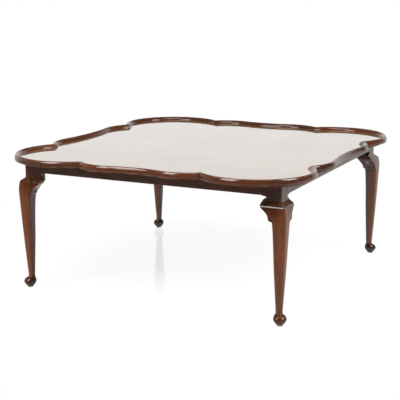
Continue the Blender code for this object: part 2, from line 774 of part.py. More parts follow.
def glide():
    """A nail-on glide under the foot."""
    tip = GLIDE_HEIGHT + NAIL_LENGTH
    profile = [
        (0, tip),
        (NAIL_RADIUS, tip - NAIL_POINT),
        (NAIL_RADIUS, GLIDE_HEIGHT),
        (GLIDE_RADIUS - GLIDE_EDGE, GLIDE_HEIGHT),
        (GLIDE_RADIUS, GLIDE_HEIGHT - GLIDE_EDGE),
        (GLIDE_RADIUS - GLIDE_EDGE, 0),
        (0, 0),
    ]
    return moved(turned(profile), Matrix.Translation((-FOOT_SETBACK, -FOOT_SETBACK, 0)))


def build_top(rim_wood, field_wood):
    part("field_panel", field_panel(), field_wood)
    for name, run in top_runs().items():
        kind = "corner" if name in CORNERS else "side"
        part(f"rim_{kind}_{name}", rim_segment(name, run), rim_wood)


def build_frame(wood, hidden_wood, steel):
    rail = apron()
    block = button()
    screw = button_screw()
    for turns, side in enumerate(SIDES):
        part(f"apron_{side}", rail, wood, quarter_turn(turns))
    for name, place in button_places().items():
        part(f"table_button_{name}", block, hidden_wood, place)
        part(f"button_screw_{name}", screw, steel, place)


def build_legs(wood, hidden_wood, steel):
    meshes = (
        ("leg", leg(), wood),
        ("corner_brace", corner_brace(), hidden_wood),
        ("hanger_bolt", hanger_bolt(), steel),
        ("bolt_nut", bolt_nut(), steel),
        ("glide", glide(), steel),
    )
    brackets = (knee_bracket(False), knee_bracket(True))
    for turns, corner in enumerate(CORNERS):
        place = quarter_turn(turns) @ Matrix.Translation((HALF_FRAME, HALF_FRAME, 0))
        for name, mesh, finish in meshes:
            part(f"{name}_{corner}", mesh, finish, place)
        for mesh, side in zip(brackets, (SIDES[turns - 2], SIDES[(turns + 1) % 4])):
            part(f"knee_bracket_{corner}_{side}", mesh, wood, place)


def main():
    for old in list(bpy.data.objects):
        bpy.data.objects.remove(old, do_unlink=True)
    origin = bpy.data.objects.new("table_origin", None)
    collection("coffee_table").objects.link(origin)
    leg_wood = material("polished_red_brown_wood", (0.105, 0.040, 0.018), 0.28)
    rim_wood = material("polished_rim_wood", (0.130, 0.052, 0.022), 0.25)
    field_wood = material("polished_field_veneer", (0.115, 0.046, 0.020), 0.12)
    hidden_wood = material("plain_beech", (0.42, 0.27, 0.14), 0.60)
    steel = material("zinc_plated_steel", (0.56, 0.57, 0.58), 0.38, 1.0)
    build_top(rim_wood, field_wood)
    build_frame(leg_wood, hidden_wood, steel)
    build_legs(leg_wood, hidden_wood, steel)


main()
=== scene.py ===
"""Fine shapes and finishes of a coffee table with a scalloped tray top and cabriole legs.

Metres, +Z up, front at -Y, origin on the floor under the middle of the top.
"""

import math
from functools import partial
from typing import NamedTuple

import bmesh
import bpy
import numpy as np
from bpy.props import FloatProperty, FloatVectorProperty, PointerProperty
from mathutils import Matrix, Vector


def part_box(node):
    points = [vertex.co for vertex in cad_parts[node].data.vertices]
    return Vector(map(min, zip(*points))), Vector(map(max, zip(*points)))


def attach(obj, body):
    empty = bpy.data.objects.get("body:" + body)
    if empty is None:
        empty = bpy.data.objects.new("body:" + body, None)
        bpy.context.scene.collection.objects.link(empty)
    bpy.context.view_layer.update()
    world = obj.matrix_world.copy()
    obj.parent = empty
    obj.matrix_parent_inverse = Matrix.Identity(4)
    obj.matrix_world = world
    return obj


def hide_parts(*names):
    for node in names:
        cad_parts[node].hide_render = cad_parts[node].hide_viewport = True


bl_info = {
    "name": "Scalloped coffee table",
    "version": (1, 0, 0),
    "blender": (4, 5, 0),
    "location": "3D View > Sidebar > Table",
    "description": "Shapes and finishes of a coffee table with a scalloped tray top",
    "category": "Object",
}

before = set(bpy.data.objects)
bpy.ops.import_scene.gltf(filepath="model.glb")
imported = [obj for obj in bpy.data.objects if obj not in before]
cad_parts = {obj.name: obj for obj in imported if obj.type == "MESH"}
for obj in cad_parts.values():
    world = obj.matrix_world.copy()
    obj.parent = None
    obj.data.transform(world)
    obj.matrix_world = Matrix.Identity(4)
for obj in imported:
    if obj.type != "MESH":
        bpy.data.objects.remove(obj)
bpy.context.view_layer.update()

QUARTER = math.pi / 2
SHARP = math.radians(38)
CORNERS = ("back_right", "back_left", "front_left", "front_right")
SIDES = ("front", "right", "back", "left")
ACROSS_DIAGONAL = Matrix(((0, 1, 0, 0), (1, 0, 0, 0), (0, 0, 1, 0), (0, 0, 0, 1)))

GRAIN_SHIFT = np.array((3.7, 1.3, 2.1))  # from piece to piece
FINE_EDGE = 0.001  # rounding of small edges

# Finishes
RUBBED_AND_HIGHLIGHT = (0.50, 0.27, 0.19, 1)  # worn edges, and a painted highlight along the knee ledge and the legs' front edges
DUST = (0.36, 0.29, 0.21, 1)  # on plain wood
FILM = (0.44, 0.41, 0.36, 1)  # on plating
SHINE_TINT = (1.0, 0.93, 0.87, 1)  # of the floor

# Tone from cool 0 to warm 1, and painted shade of each rim segment, darker on the right and back
RIM_LOOKS = {
    "rim_side_right": (0.35, 0.46),
    "rim_corner_back_right": (0.95, 0.25),
    "rim_side_back": (0.30, 0.42),
    "rim_corner_back_left": (0.55, 0.20),
    "rim_side_left": (0.40, 0.0),
    "rim_corner_front_left": (0.15, 0.0),
    "rim_side_front": (0.55, 0.0),
    "rim_corner_front_right": (0.80, 0.0),
}
APRON_TONE = 0.35
BRACKET_TONE = 0.45
LEG_TONES = (0.55, 0.65, 0.75, 0.55)
FRAME_PAINTED_SHADE = 0.68  # painted shade of the aprons and brackets under the top
LEG_PAINTED_SHADE = (0.82, 0.0, 0.12, 0.76, 0.92, 0.66)  # darker at the foot, then painted shade on the knee, ledge and post under the top, from the foot up

# Rim
COVE_RISE = 0.6  # of the cove, for its width
SLOPE_POWER = 1.35  # bend of the inner slope
LIP = 0.0008  # thickness over the panel's edge

# Legs and brackets; sections hold the drop below the apron, or the shin's height, the reach outwards and
# inwards, and the radius of the front edge and of the others
BEVEL_RUN = 0.53  # of the ledge's edge, for its height
BEVEL_ROUND = 0.0025  # of the leg's front edge at the ledge
LEDGE_FACE = (0.004, 0.0006)  # drop and reach of the face below the ledge
KNEE = ((0.052, 0.0186, 0.0315, 0.0085, 0.0030), (0.072, 0.0189, 0.0240, 0.0110, 0.0085))
SHIN = (0.150, 0.0118, 0.0194, 0.0120, 0.0105)
DOME_POWER = 10  # how sharply the foot's dome leaves the ankle
TAPER_POWER = 1.6  # how round the foot's taper is
RUBBED_AND_HIGHLIGHT_FROM = 0.06  # height above which the front edge is rubbed paler, partly as a painted highlight
BRACKET_SETBACK = 0.0002  # behind the leg's face

# Fittings
POINT = 0.003  # length of a screw's or nail's point
TIP = 0.0002  # its blunt end
HEAD_DOME = 0.0003  # rise of a screw head's face
CROSS_HALF = 0.00045  # half width of the head's cross
CROSS_REACH = 0.0026  # from the middle of the head
CROSS_FADE = 0.0006  # at the ends of the cross
CROSS_TOP = 0.0004  # height up to which the cross cuts
BOLT_END = (0.00075, 0.0015)  # turned off inwards and lengthwise
PLAIN_SHARE = 0.5  # of a bolt's length without a thread
THREAD_LEAD = 0.001  # run before the thread is cut
NUT_PLAY = 0.0003  # on its bolt

# Stage; lamps by name, setting of their power, size, place and aim
FLOOR_HALF = 20
SHADE_MIDDLE = (-0.12, 0.05, 0.0)
SHINE_MIDDLE = (-0.26, 0.14, 0.0)
LAMPS = (
    ("right_softbox", "right_box", (1.1, 1.6), (2.37, -0.21, 2.17), (0.3, -0.3, 0.2)),
    ("left_softbox", "left_box", (1.2, 1.5), (-0.88, -2.10, 2.01), (0.3, -0.3, 0.2)),
    ("top_panel", "top_panel", (1.4, 0.9), (0.10, -0.50, 3.00), (0.1, -0.3, 0.4)),
)
CAMERA_LENS = 92.56
CAMERA_PLACE = (1.4593, -3.0136, 0.9896)
CAMERA_TURNS = ((26.374, "Z"), (77.349, "X"), (-0.235, "Z"))


def length(name, description, default):
    return FloatProperty(
        name=name, description=description, default=default, min=0.0, unit="LENGTH", precision=4
    )


def watts(name, description, default):
    return FloatProperty(name=name, description=description, default=default, min=0.0, unit="POWER")


def fraction(name, description, default):
    return FloatProperty(
        name=name, description=description, default=default, min=0.0, max=1.0, subtype="FACTOR"
    )


def colour(name, description, default):
    return FloatVectorProperty(
        name=name, description=description, default=default, min=0.0, max=1.0, subtype="COLOR"
    )


class TopSizes(bpy.types.PropertyGroup):
    """Sizes of the tray top."""

    height: length("Height", "Floor to the crest of the rim", 0.432)
    width: length("Width", "Left to right across the corner lobes", 0.987)
    depth: length("Depth", "Front to back across the corner lobes", 1.030)
    lobe_across: length("Lobe across", "Half width of the oval that a corner lobe follows", 0.180)
    lobe_along: length("Lobe along", "Half depth of that oval", 0.172)
    hump_run: length("Hump run", "Cusp to the top of the hump beside it", 0.0855)
    hump_rise: length("Hump rise", "Hump out from the cusp", 0.0292)
    dip_fall: length("Dip", "Middle of a side behind its humps", 0.0137)
    rim_width: length("Rim width", "Outermost line of the rim to the field", 0.020)
    rim_height: length("Rim height", "Outer face from its lower edge to the crest", 0.0190)
    dish: length("Dish", "Crest down to the field", 0.0112)
    crest_setback: length("Crest setback", "Crest behind the outermost line", 0.0068)
    belly: length("Belly", "Outermost line above the lower edge", 0.0042)
    undercut: length("Undercut", "Lower edge behind the outermost line", 0.0007)
    cove: length("Cove", "Hollow where the rim eases into the field", 0.0025)
    panel: length("Panel", "Thickness of the field panel", 0.016)
    mitre_gap: length("Mitre gap", "Between two rim segments", 0.0003)


class FrameSizes(bpy.types.PropertyGroup):
    """Sizes of the aprons, legs and brackets under the top."""

    width: length("Width", "Across the outer faces of the posts", 0.860)
    apron_height: length("Apron height", "Height of an apron", 0.030)
    apron_thickness: length("Apron thickness", "Thickness of an apron", 0.020)
    apron_arris: length("Apron arris", "Rounding of an apron's edges", 0.0009)
    gap: length("Gap", "Between pieces that touch", 0.0003)
    post: length("Post", "Side of the square post", 0.044)
    post_arris: length("Post arris", "Rounding of the post's edges", 0.0012)
    post_drop: length("Post drop", "Foot of the post below the apron", 0.0165)
    ledge_drop: length("Ledge drop", "Ledge of the knee below the apron", 0.030)
    ledge_reach: length("Ledge reach", "Ledge out from the post", 0.0144)
    ledge_edge: length("Ledge edge", "Height of the ledge's bevelled edge", 0.0032)
    ankle_height: length("Ankle height", "Ankle above the floor", 0.042)
    ankle_radius: length("Ankle radius", "Radius of the ankle", 0.0103)
    ankle_setback: length("Ankle setback", "Middle of the ankle behind the post's corner", 0.0052)
    foot_height: length("Foot height", "Widest part of the foot above the floor", 0.0200)
    foot_rise: length("Foot rise", "Height of the foot's dome above its widest part", 0.0165)
    foot_radius: length("Foot radius", "Radius of the pad foot", 0.0197)
    foot_setback: length("Foot setback", "Middle of the foot behind the post's corner", 0.0010)
    foot_base: length("Foot base", "Radius of the foot's underside", 0.0100)
    ear_reach: length("Ear reach", "Tip of the bracket's upper scroll from the post's corner", 0.0614)
    ear_tip: length("Ear tip", "That tip below the apron", 0.0265)
    ear_back: length("Ear back", "Back of the bracket behind the post's face", 0.012)
    ear_edge: length("Ear edge", "Rounding of the bracket's front edge", 0.0022)


class FittingSizes(bpy.types.PropertyGroup):
    """Sizes of the blocks and fittings under the top."""

    block_edge: length("Block edge", "Rounding of the braces' and buttons' edges", 0.0010)
    glide_radius: length("Glide radius", "Radius of a glide", 0.0090)
    glide_height: length("Glide height", "Height of a glide's disc", 0.0035)
    glide_round: length("Glide rounding", "Rounding of a glide's lower edge", 0.0018)
    nail_radius: length("Nail radius", "Radius of a glide's nail", 0.0013)
    head_radius: length("Screw head radius", "Radius of a screw's head", 0.0042)
    head_height: length("Screw head height", "Height of a screw's head", 0.0026)
    shank_radius: length("Screw radius", "Radius of a screw's shank", 0.0021)
    recess: length("Recess", "Depth of the cross in a screw's head", 0.0012)
    bolt_radius: length("Bolt radius", "Radius of a hanger bolt", 0.0030)
    thread_depth: length("Thread depth", "Depth of a bolt's thread", 0.0005)
    pitch: length("Pitch", "Rise of a bolt's thread in one turn", 0.0010)
    nut_flats: length("Nut across flats", "Width of a nut", 0.0100)
    nut_thickness: length("Nut thickness", "Thickness of a nut", 0.0050)


class FinishColours(bpy.types.PropertyGroup):
    """Colours of the woods and metals."""

    frame_deep: colour("Frame, deep", "Dark streaks of the legs and aprons", (0.145, 0.038, 0.012))
    frame_body: colour("Frame, body", "Main colour of the legs and aprons", (0.258, 0.076, 0.019))
    frame_pale: colour("Frame, pale", "Bright fibres of the legs and aprons", (0.400, 0.145, 0.042))
    rim_deep: colour("Rim, deep", "Dark streaks of the rim", (0.082, 0.026, 0.011))
    rim_body: colour("Rim, body", "Main colour of the rim", (0.155, 0.051, 0.021))
    rim_pale: colour("Rim, pale", "Bright fibres of the rim", (0.260, 0.103, 0.043))
    field_deep: colour("Field, deep", "Dark streaks of the veneer", (0.150, 0.071, 0.030))
    field_body: colour("Field, body", "Main colour of the veneer", (0.310, 0.178, 0.080))
    field_pale: colour("Field, pale", "Bright fibres of the veneer", (0.450, 0.290, 0.142))
    beech: colour("Beech", "Plain wood of the braces and buttons", (0.46, 0.29, 0.155))
    zinc: colour("Zinc", "Plated steel of the fittings", (0.56, 0.57, 0.58))


class StageSettings(bpy.types.PropertyGroup):
    """Floor and lamps."""

    floor: colour("Floor", "Colour of the floor", (0.50, 0.50, 0.495))
    shade: fraction("Shade", "Share of the floor's look that takes the table's shadow", 0.30)
    shine: fraction("Shine", "Share of the floor's look that mirrors the table", 0.20)
    right_box: watts("Right softbox", "Power of the softbox on the right", 52.0)
    left_box: watts("Left softbox", "Power of the softbox at the front left", 50.0)
    top_panel: watts("Top panel", "Power of the panel above the front of the table", 22.0)
    ambient: fraction("Ambient", "Even light from all round", 0.10)
    surround: fraction("Surround", "How bright the room in front looks in the polish", 0.11)


class Signal:
    """One output of a shader node; arithmetic on it adds Math nodes."""

    def __init__(self, nodes, socket):
        self.nodes = nodes
        self.socket = socket

    def math(self, operation, first, second):
        return self.nodes.add("ShaderNodeMath", {"operation": operation}, {0: first, 1: second})

    def __add__(self, other):
        return self.math("ADD", self, other)

    def __sub__(self, other):
        return self.math("SUBTRACT", self, other)

    def __rsub__(self, other):
        return self.math("SUBTRACT", other, self)

    def __mul__(self, other):
        return self.math("MULTIPLY", self, other)

    __radd__ = __add__
    __rmul__ = __mul__

    def most(self, other):
        return self.math("MAXIMUM", self, other)

    def step(self, low, high):
        """0 up to low, 1 from high on and smooth between."""
        inputs = {"Value": self, "From Min": low, "From Max": high}
        return self.nodes.add("ShaderNodeMapRange", {"interpolation_type": "SMOOTHSTEP"}, inputs)


class Nodes:
    """The node tree of one material or of the world."""

    def __init__(self, tree):
        self.tree = tree

    def add(self, kind, settings, inputs, output=0):
        """One node of a kind with its settings and inputs."""
        node = self.tree.nodes.new(kind)
        for name, value in settings.items():
            setattr(node, name, value)
        self.feed(node, inputs)
        return Signal(self, node.outputs[output])

    def feed(self, node, inputs):
        """Sets or links the inputs of a node."""
        for name, value in inputs.items():
            if isinstance(value, Signal):
                self.tree.links.new(value.socket, node.inputs[name])
            else:
                node.inputs[name].default_value = value

    def noise(self, place, stretch, detail, distortion=0.0):
        """Noise with so many cells to the metre each way."""
        moved = self.add("ShaderNodeMapping", {}, {"Vector": place, "Scale": stretch})
        inputs = {"Vector": moved, "Scale": 1.0, "Detail": detail, "Distortion": distortion}
        return self.add("ShaderNodeTexNoise", {}, inputs)

    def blend(self, share, first, second, kind="MIX"):
        """Colour between two others."""
        settings = {"data_type": "RGBA", "blend_type": kind}
        return self.add("ShaderNodeMix", settings, {0: share, 6: first, 7: second}, 2)

    def layer(self, name, output="Fac"):
        """What a piece's mesh holds under this name."""
        return self.add("ShaderNodeAttribute", {"attribute_name": name}, {}, output)

    def bump(self, height, depth, share):
        inputs = {"Height": height, "Distance": depth, "Strength": share}
        return self.add("ShaderNodeBump", {}, inputs, "Normal")

    def place(self, kind="Object"):
        return self.add("ShaderNodeTexCoord", {}, {}, kind)

    def axis(self, vector, name):
        return self.add("ShaderNodeSeparateXYZ", {}, {"Vector": vector}, name)

    def distance(self, first, second):
        return self.add("ShaderNodeVectorMath", {"operation": "DISTANCE"}, {0: first, 1: second}, "Value")

    def mixed(self, share, first, second):
        """One shader over another."""
        return self.add("ShaderNodeMixShader", {}, {0: share, 1: first, 2: second})


def opaque(rgb, factor=1.0):
    return (*(min(part * factor, 1.0) for part in rgb), 1.0)


def new_material(name):
    material = bpy.data.materials.new(name)
    material.use_nodes = True
    return material, Nodes(material.node_tree), material.node_tree.nodes["Principled BSDF"]


def lacquered_wood(name, colours, part, gloss, haze):
    """Wood of the rim or frame: streaks, fibres and pores under lacquer that is rubbed on the edges, with
    painted shade and a painted highlight from the piece's layers.
    """
    material, nodes, shader = new_material(name)
    deep, body, pale = (getattr(colours, f"{part}_{shade}") for shade in ("deep", "body", "pale"))
    grain = nodes.layer("grain", "Vector")
    streaks = nodes.noise(grain, (1.7, 34, 34), 4, 0.9)
    fibres = nodes.noise(grain, (13, 470, 470), 3, 0.2)
    pores = nodes.noise(grain, (55, 1900, 1900), 2).step(0.60, 0.74)
    clouds = nodes.noise(grain, (5, 11, 11), 3)
    # The wear layer, broken up: real wear on the edges, and a painted highlight along the knee ledge and
    # the legs' front edges.
    rubbed = nodes.layer("wear") * nodes.noise(grain, (34, 90, 90), 3).step(0.38, 0.66)
    wood = nodes.blend(streaks.step(0.30, 0.70), opaque(deep), opaque(body))
    wood = nodes.blend(fibres.step(0.46, 0.74) * 0.45, wood, opaque(pale))
    wood = nodes.blend(clouds.step(0.42, 0.75) * 0.35, wood, opaque(body, 1.25))
    wood = nodes.blend(pores * 0.55, wood, opaque(deep, 0.45))
    cast = nodes.blend(nodes.layer("tone"), (0.80, 0.86, 0.94, 1), (1.0, 0.88, 0.80, 1))
    wood = nodes.blend(1.0, wood, cast, "MULTIPLY")
    # Painted shade: where the piece's painted shade layer is high, the wood is darkened towards a deep
    # brown.
    stain = nodes.layer("stain") * (clouds * 0.2 + 0.9)
    wood = nodes.blend(stain, wood, opaque(deep, 0.22))
    # Paler worn edges, partly a painted highlight.
    wood = nodes.blend(rubbed * 0.5, wood, RUBBED_AND_HIGHLIGHT)
    ripple = nodes.noise(grain, (22, 60, 60), 1)
    height = fibres * 0.2 + ripple * 0.4 - pores * 0.3
    looks = {
        "Base Color": wood,
        "Roughness": clouds * 0.10 + rubbed * 0.10 + pores * 0.10 + gloss,
        "Normal": nodes.bump(height, 0.0003, 0.06),
        "Specular IOR Level": 0.0,
        "Coat Weight": 1.0 - rubbed * 0.15,
        "Coat Roughness": haze,
        "Coat IOR": 1.55,
    }
    nodes.feed(shader, looks)
    return material


def polished_field(name, colours):
    """The field's veneer under a mirror polish, bare underneath."""
    material, nodes, shader = new_material(name)
    grain = nodes.layer("grain", "Vector")
    facing = nodes.add("ShaderNodeNewGeometry", {}, {}, "Normal")
    bare = 1.0 - nodes.axis(facing, "Z").step(-0.6, -0.3)
    streaks = nodes.noise(grain, (0.9, 21, 21), 4, 1.1)
    fibres = nodes.noise(grain, (9, 430, 430), 3, 0.2)
    pores = nodes.noise(grain, (48, 1700, 1700), 2).step(0.60, 0.74)
    clouds = nodes.noise(grain, (3, 5, 5), 3)
    smears = nodes.noise(grain, (13, 17, 17), 4, 1.5).step(0.48, 0.78)
    wood = nodes.blend(streaks.step(0.30, 0.70), opaque(colours.field_deep), opaque(colours.field_body))
    wood = nodes.blend(fibres.step(0.46, 0.74) * 0.5, wood, opaque(colours.field_pale))
    wood = nodes.blend(clouds.step(0.45, 0.75) * 0.3, wood, opaque(colours.field_body, 1.3))
    wood = nodes.blend(pores * 0.5, wood, opaque(colours.field_deep, 0.5))
    plain = nodes.blend(fibres.step(0.35, 0.7), opaque(colours.beech, 0.75), opaque(colours.beech))
    wiped = nodes.noise(grain, (4, 2.2, 2.2), 3, 0.6).step(0.42, 0.68)
    ripple = nodes.noise(grain, (7, 9, 9), 1)
    looks = {
        "Base Color": nodes.blend(bare, wood, plain),
        "Roughness": smears * 0.03 + bare * 0.5 + 0.07,
        "Normal": nodes.bump(ripple * 0.6 + fibres * 0.1, 0.0002, 0.05),
        "Coat Weight": (1.0 - bare) * (1.0 - wiped * 0.07 - smears * 0.03),
        "Coat Roughness": 0.03,
        "Coat IOR": 2.35,
        "IOR": 2.0,
    }
    nodes.feed(shader, looks)
    return material


def plain_beech(name, colours):
    """Unfinished beech with short dark flecks, saw marks and a dusty cast."""
    material, nodes, shader = new_material(name)
    place = nodes.place()
    bands = nodes.noise(place, (9, 70, 70), 3, 0.6)
    flecks = nodes.noise(place, (160, 900, 900), 1).step(0.62, 0.70)
    saw = nodes.noise(place, (640, 30, 30), 1)
    dust = nodes.noise(place, (26, 26, 26), 4)
    wood = nodes.blend(bands.step(0.3, 0.7), opaque(colours.beech, 0.78), opaque(colours.beech, 1.1))
    wood = nodes.blend(flecks * 0.6, wood, opaque(colours.beech, 0.42))
    wood = nodes.blend(dust.step(0.5, 0.8) * 0.3, wood, DUST)
    looks = {
        "Base Color": wood,
        "Roughness": saw * 0.2 + 0.52,
        "Normal": nodes.bump(saw - flecks * 0.4, 0.0003, 0.25),
    }
    nodes.feed(shader, looks)
    return material


def plated_steel(name, colours):
    """Zinc plating with a spangle, fine scratches and a dull film."""
    material, nodes, shader = new_material(name)
    place = nodes.place()
    spangle = nodes.noise(place, (420, 420, 420), 2)
    scratches = nodes.noise(place, (250, 5200, 900), 2).step(0.56, 0.70)
    film = nodes.noise(place, (60, 60, 60), 4).step(0.45, 0.75)
    metal = nodes.blend(spangle.step(0.35, 0.65), opaque(colours.zinc, 0.9), opaque(colours.zinc, 1.12))
    metal = nodes.blend(film * 0.5, metal, FILM)
    looks = {
        "Base Color": metal,
        "Metallic": 1.0 - film * 0.25,
        "Roughness": film * 0.22 + scratches * 0.12 + 0.26,
        "Normal": nodes.bump(scratches + spangle * 0.4, 0.0001, 0.2),
    }
    nodes.feed(shader, looks)
    return material


FINISHES = {
    "rim_wood": partial(lacquered_wood, part="rim", gloss=0.30, haze=0.10),
    "frame_wood": partial(lacquered_wood, part="frame", gloss=0.32, haze=0.07),
    "field_veneer": polished_field,
    "plain_wood": plain_beech,
    "plated_steel": plated_steel,
}


def finish(slot):
    """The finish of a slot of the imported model, made once."""
    name = f"{slot}_finish"
    return bpy.data.materials.get(name) or FINISHES[slot](name, bpy.context.scene.table_colours)


class Shape(NamedTuple):
    """Points and faces of one piece, with the grain, the wear (partly a painted highlight) and the painted
    shade at each point.
    """

    points: np.ndarray
    faces: list
    grain: np.ndarray
    wear: np.ndarray
    stain: np.ndarray

    def placed(self, matrix):
        turn = np.array(matrix)
        return self._replace(points=self.points @ turn[:3, :3].T + turn[:3, 3])


def tube(grid, grain, wear=0.0, stain=0.0, capped=True):
    """A closed shape from a grid that runs round it and then along it, capped or joined at its ends."""
    around, along = grid.shape[:2]
    faces = []
    for row in range(around):
        here = row * along
        after = (row + 1) % around * along
        for step in range(along - capped):
            ahead = (step + 1) % along
            faces.append((here + step, here + ahead, after + ahead, after + step))
    if capped:
        faces.append(tuple(range(0, around * along, along)))
        faces.append(tuple(range(along - 1, around * along, along)))
    wear, stain = (np.broadcast_to(layer, (around, along)).reshape(-1) for layer in (wear, stain))
    return Shape(grid.reshape(-1, 3), faces, grain.reshape(-1, 3), wear, stain)


def add_object(name, data):
    made = bpy.data.objects.new(name, data)
    bpy.context.scene.collection.objects.link(made)
    return made


def make_piece(node, shape, slot, tone=0.5):
    """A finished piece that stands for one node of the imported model."""
    mesh = bpy.data.meshes.new(node)
    mesh.from_pydata(shape.points.tolist(), [], shape.faces)
    work = bmesh.new()
    work.from_mesh(mesh)
    bmesh.ops.recalc_face_normals(work, faces=work.faces)
    work.to_mesh(mesh)
    work.free()
    shift = GRAIN_SHIFT * sorted(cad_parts).index(node)
    layers = (
        ("grain", "FLOAT_VECTOR", "vector", shape.grain + shift),
        # The wear layer also holds a painted highlight, and the next one holds painted shade.
        ("wear", "FLOAT", "value", shape.wear),
        ("stain", "FLOAT", "value", shape.stain),
        ("tone", "FLOAT", "value", np.full(len(shape.points), tone)),
    )
    for name, kind, field, values in layers:
        layer = mesh.attributes.new(name, kind, "POINT")
        layer.data.foreach_set(field, np.ravel(values).astype(np.float32))
    mesh.materials.append(finish(slot))
    mesh.shade_smooth()
    mesh.set_sharp_from_angle(angle=SHARP)
    piece = add_object(f"{node}_finished", mesh)
    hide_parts(node)
    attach(piece, "root")


def quarter_turn(count):
    return Matrix.Rotation(count * QUARTER, 4, "Z")


def arc(middle, radii, start, end, steps):
    """Points along an oval's arc, with their outward directions."""
    angle = np.linspace(start, end, steps + 1)
    unit = np.stack([np.cos(angle), np.sin(angle)], axis=1)
    outward = unit / radii
    return middle + unit * radii, outward / np.linalg.norm(outward, axis=1, keepdims=True)


def near(distance, width):
    """1 where the distance is nothing, falling off over the width."""
    return np.exp(-((distance / width) ** 2))


class Scallops:
    """The top's outline: where its cusps lie and how it runs between them."""

    def __init__(self, top):
        self.top = top
        self.radius = (top.hump_run**2 + top.hump_rise**2) / (2 * top.hump_rise)
        self.lean = math.asin(top.hump_run / self.radius)
        across, along = top.lobe_across, top.lobe_along
        self.front_turn, self.front_cusp, self.front_line = self.join(across, along, top.width, top.depth)
        self.side_turn, self.side_cusp, self.side_line = self.join(along, across, top.depth, top.width)

    def join(self, across, along, width, depth):
        """How far a lobe turns in past a side's direction, and the cusp's place along the side and out."""
        turn = math.atan(math.tan(self.lean) * across / along)
        return turn, width / 2 - across * (1 + math.sin(turn)), depth / 2 - along * (1 - math.cos(turn))

    def side(self, cusp, line):
        """Hump, dip and hump along the back, counter-clockwise."""
        hump = cusp - self.top.hump_run
        crown = line + self.top.hump_rise
        both = (hump**2 + self.top.dip_fall**2) / (2 * self.top.dip_fall)
        dip = both - self.radius
        lean = math.asin(hump / both)
        flip = np.array((-1.0, 1.0))
        right = arc((hump, crown - self.radius), self.radius, QUARTER - self.lean, QUARTER + lean, steps=56)
        hollow = (0, crown - self.top.dip_fall + dip)
        middle = arc(hollow, dip, lean - QUARTER, -lean - QUARTER, steps=40)
        points = [right[0], middle[0][1:-1], right[0][::-1] * flip]
        outward = [right[1], -middle[1][1:-1], right[1][::-1] * flip]
        return np.concatenate(points), np.concatenate(outward)

    def lobe(self):
        """The back right corner, counter-clockwise from the right side's cusp."""
        radii = np.array((self.top.lobe_across, self.top.lobe_along))
        middle = np.array((self.top.width, self.top.depth)) / 2 - radii
        return arc(middle, radii, -self.side_turn, QUARTER + self.front_turn, steps=168)

    def segments(self):
        """Each rim segment by name: its run, the planes that end it and the move that puts it in place."""
        half_gap = self.top.mitre_gap / 2
        corner = self.lobe(), ((1, self.side_cusp + half_gap), (0, self.front_cusp + half_gap))
        front_end = self.front_cusp - half_gap
        side_end = self.side_cusp - half_gap
        front = self.side(self.front_cusp, self.front_line), ((0, front_end), (0, -front_end))
        side = self.side(self.side_cusp, self.side_line), ((0, side_end), (0, -side_end))
        return {
            "rim_side_right": (*side, quarter_turn(-1)),
            "rim_corner_back_right": (*corner, quarter_turn(0)),
            "rim_side_back": (*front, quarter_turn(0)),
            "rim_corner_back_left": (*corner, Matrix.Scale(-1, 4, (1, 0, 0))),
            "rim_side_left": (*side, quarter_turn(1)),
            "rim_corner_front_left": (*corner, quarter_turn(2)),
            "rim_side_front": (*front, quarter_turn(2)),
            "rim_corner_front_right": (*corner, Matrix.Scale(-1, 4, (0, 1, 0))),
        }


def meet(point, way, plane):
    """Where the line through a point meets an upright plane given by an axis and a place on it."""
    axis, place = plane
    return point + way * (place - point[axis]) / way[axis]


def set_in(run, inset, planes, steps):
    """Evenly spaced points on a run moved in by so much, from one end plane to the other."""
    points, outward = run
    line = points - outward * inset
    ahead = outward @ np.array(((0.0, 1.0), (-1.0, 0.0)))
    begin = meet(line[0], ahead[0], planes[0])
    end = meet(line[-1], ahead[-1], planes[1])
    line = np.vstack([begin, line[1:-1], end])
    walked = np.concatenate([[0.0], np.cumsum(np.linalg.norm(np.diff(line, axis=0), axis=1))])
    even = np.linspace(0.0, walked[-1], steps + 1)
    return np.stack([np.interp(even, walked, line[:, axis]) for axis in (0, 1)], axis=1), even


def rim_section(top):
    """The rim's section as rows of inset, height and wear, up the outer face and down to the field."""
    setback = top.crest_setback
    field = top.rim_height - top.dish
    cove = top.cove * COVE_RISE
    bow = (top.undercut**2 + top.belly**2) / (2 * top.undercut)
    lower_edge = math.pi + math.asin(top.belly / bow)
    fall = arc((0.0, 0.0), 1.0, QUARTER, 0.0, steps=18)[0].clip(0.0) ** SLOPE_POWER
    parts = (
        arc((bow, top.belly), bow, lower_edge, math.pi, steps=8)[0],
        arc((setback, top.belly), (setback, top.rim_height - top.belly), math.pi, QUARTER, steps=14)[0],
        (setback, field + cove) + fall * (top.rim_width - top.cove - setback, top.dish - cove),
        arc((top.rim_width, field + cove), (top.cove, cove), math.pi, math.pi * 1.5, steps=6)[0],
    )
    under = field - top.panel
    inner = top.rim_width - LIP
    back = ((top.rim_width, under), (inner, under), (inner, 0.0))
    rows = np.vstack([parts[0], *(part[1:] for part in parts[1:]), back])
    crest = near(np.hypot(rows[:, 0] - setback, rows[:, 1] - top.rim_height), width=0.004)
    edge = near(np.hypot(rows[:, 0] - top.undercut, rows[:, 1]), width=0.0025)
    return np.column_stack([rows, crest + edge])


def rim_segment(top, run, planes, stain):
    """The rim's section carried along one run and mitred at both cusps."""
    floor = top.height - top.rim_height
    grid, grain, wear = [], [], []
    for inset, height, rubbed in rim_section(top):
        line, walked = set_in(run, inset, planes, steps=150)
        level = np.full(len(line), floor + height)
        grid.append(np.column_stack([line, level]))
        grain.append(np.column_stack([walked, np.full(len(line), inset), level]))
        wear.append(np.full(len(line), rubbed))
    return tube(np.array(grid), np.array(grain), np.array(wear), stain)


